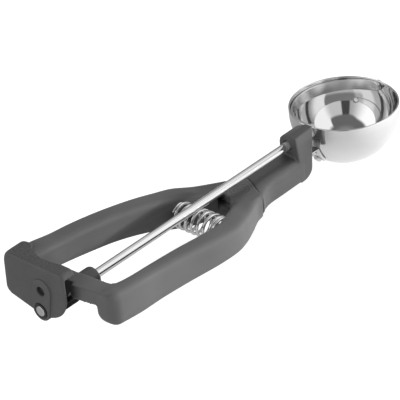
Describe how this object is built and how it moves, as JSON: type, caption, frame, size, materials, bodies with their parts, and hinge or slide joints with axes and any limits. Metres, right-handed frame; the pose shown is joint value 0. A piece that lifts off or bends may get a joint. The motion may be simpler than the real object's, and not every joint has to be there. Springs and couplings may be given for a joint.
{
  "type": "lever ice cream scoop",
  "caption": "Lever ice cream scoop with a round steel bowl; squeezing its plastic handle turns a rod that sweeps a curved scraper through the bowl.",
  "frame": {"origin": "middle of the object's footprint, at the height of the lowest point of the bowl", "axes": "+X along the rod from the gear head to the bowl, +Y towards the fixed arm, +Z out of the bowl's mouth"},
  "size_m": [0.2452, 0.0626, 0.0516],
  "materials": {
    "handle_plastic": "satin, finely grained",
    "cover_plastic": "matt",
    "bush_plastic": "satin",
    "bowl_steel": "mirror polished inside, polished outside",
    "strap_steel": "satin",
    "rod_steel": "polished, drawn",
    "spring_steel": "bright wire",
    "scraper_steel": "rolled strip",
    "black_steel": "black oxide"
  },
  "bodies": {
    "frame": {"frame": "handle_plastic", "gear_cover": "cover_plastic", "cover_screw": "black_steel", "rear_bush": "bush_plastic", "front_bush": "bush_plastic", "bowl": "bowl_steel", "bowl_strap": "strap_steel", "strap_rivets": "strap_steel", "tang_screw": "strap_steel", "rod_sleeve": "rod_steel", "pivot_pin": "rod_steel", "pivot_washer": "rod_steel", "return_spring": "spring_steel"},
    "lever": {"lever": "handle_plastic", "pivot_cap": "cover_plastic"},
    "rod": {"rod": "rod_steel", "pinion": "bush_plastic", "pinion_pin": "rod_steel", "thrust_washer": "rod_steel", "scraper": "scraper_steel", "scraper_pin": "scraper_steel"}
  },
  "joints": [
    {"name": "lever_squeeze", "type": "hinge", "parent": "frame", "child": "lever", "pos_m": [0.01145, 0.0033, 0.016], "axis": [0, 0, -1], "range_deg": [0, 7.24], "stiffness_Nm_per_rad": 1.57, "springref_deg": -8.02, "deforming": ["return_spring"]},
    {"name": "rod_turn", "type": "hinge", "parent": "frame", "child": "rod", "pos_m": [0.09345, 0.0033, 0.028], "axis": [-1, 0, 0], "range_deg": [0, 172]}
  ],
  "couplings": [
    {"joint": "rod_turn", "follows": "lever_squeeze", "ratio": 23.75}
  ]
}
